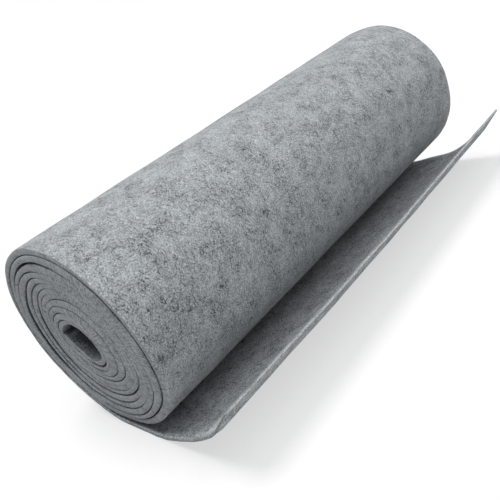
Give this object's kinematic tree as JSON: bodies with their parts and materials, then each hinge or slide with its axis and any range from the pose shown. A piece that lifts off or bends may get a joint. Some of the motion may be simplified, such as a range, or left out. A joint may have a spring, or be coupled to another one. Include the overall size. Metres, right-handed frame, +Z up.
{
  "type": "felt roll",
  "caption": "Roll of heathered grey felt, wound from a wide strip round a hollow middle, with its loose end lying out from under the roll and curling up.",
  "frame": {"origin": "on the floor, under the middle of the part's box", "axes": "+Y along the roll, away from the end that the picture shows; +X towards the tip of the loose end; +Z up"},
  "size_m": [0.1586, 0.3, 0.115],
  "materials": {
    "grey_felt": "matt, heathered, fibrous"
  },
  "bodies": {
    "root": {"felt_roll": "grey_felt"}
  },
  "joints": []
}
